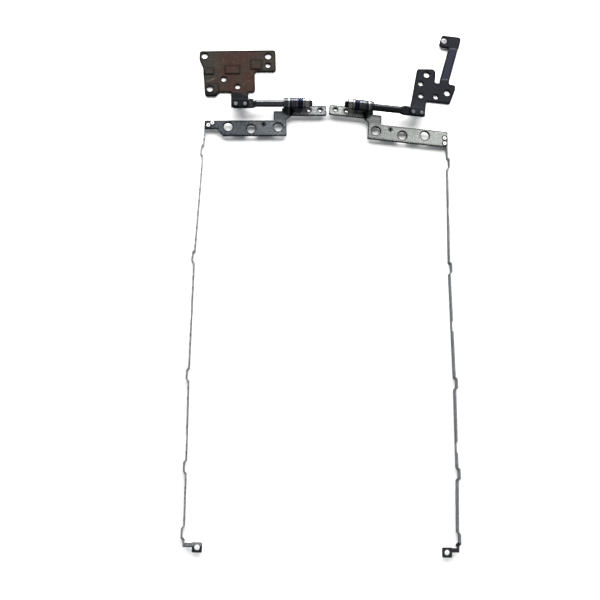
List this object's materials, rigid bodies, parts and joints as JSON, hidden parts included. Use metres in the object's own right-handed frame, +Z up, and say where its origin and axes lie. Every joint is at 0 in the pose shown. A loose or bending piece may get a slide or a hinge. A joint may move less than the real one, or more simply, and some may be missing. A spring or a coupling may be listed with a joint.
{
  "type": "pair of laptop hinges",
  "caption": "Friction hinges of a laptop, lying open: black base plates, washer-stacked shafts, bright screen brackets and long thin rails with end tabs.",
  "frame": {"origin": "on the table under the middle of the pair's outline", "axes": "+X from the left hinge to the right one, along the hinge axes; +Y from the rails to the base plates; +Z up from the table"},
  "size_m": [0.1394, 0.2629, 0.0106],
  "materials": {
    "black_paint": "satin black coat",
    "blackened_steel": "black oxide, smooth",
    "zinc_steel": "dull zinc",
    "nickel_steel": "nickel plated, lightly scratched",
    "bare_steel": "cold rolled",
    "polished_steel": "bright turned",
    "blued_steel": "spring blue"
  },
  "bodies": {
    "screen_side": {"left_screen_bracket": "nickel_steel", "left_screen_rail": "bare_steel", "left_rail_eyelet_1": "nickel_steel", "left_rail_eyelet_2": "nickel_steel", "right_screen_bracket": "nickel_steel", "right_screen_rail": "bare_steel", "right_rail_eyelet_1": "nickel_steel", "right_rail_eyelet_2": "nickel_steel"},
    "left_base_side": {"left_base_plate": "black_paint", "left_hinge_shaft": "blackened_steel", "left_outer_friction_washer": "polished_steel", "left_inner_friction_washer": "polished_steel", "left_stop_washer": "polished_steel", "left_detent_washer": "blackened_steel", "left_disc_spring_1": "blued_steel", "left_disc_spring_2": "blued_steel", "left_disc_spring_3": "blued_steel", "left_disc_spring_4": "blued_steel", "left_end_washer": "polished_steel", "left_lock_nut": "polished_steel", "left_tongue_rivet_outer": "zinc_steel", "left_tongue_rivet_inner": "zinc_steel"},
    "right_base_side": {"right_base_plate": "black_paint", "right_hinge_shaft": "blackened_steel", "right_outer_friction_washer": "polished_steel", "right_inner_friction_washer": "polished_steel", "right_stop_washer": "polished_steel", "right_detent_washer": "blackened_steel", "right_disc_spring_1": "blued_steel", "right_disc_spring_2": "blued_steel", "right_disc_spring_3": "blued_steel", "right_disc_spring_4": "blued_steel", "right_end_washer": "polished_steel", "right_lock_nut": "polished_steel", "right_tongue_rivet_outer": "zinc_steel", "right_tongue_rivet_inner": "zinc_steel"}
  },
  "joints": [
    {"name": "left_hinge", "type": "hinge", "parent": "screen_side", "child": "left_base_side", "pos_m": [-0.02, 0.08885, 0.0074], "axis": [0.9995, 0.0305, 0], "range_deg": [0, 180]},
    {"name": "right_hinge", "type": "hinge", "parent": "screen_side", "child": "right_base_side", "pos_m": [0.018, 0.08855, 0.0074], "axis": [0.9966, -0.0828, 0], "range_deg": [0, 180]}
  ]
}
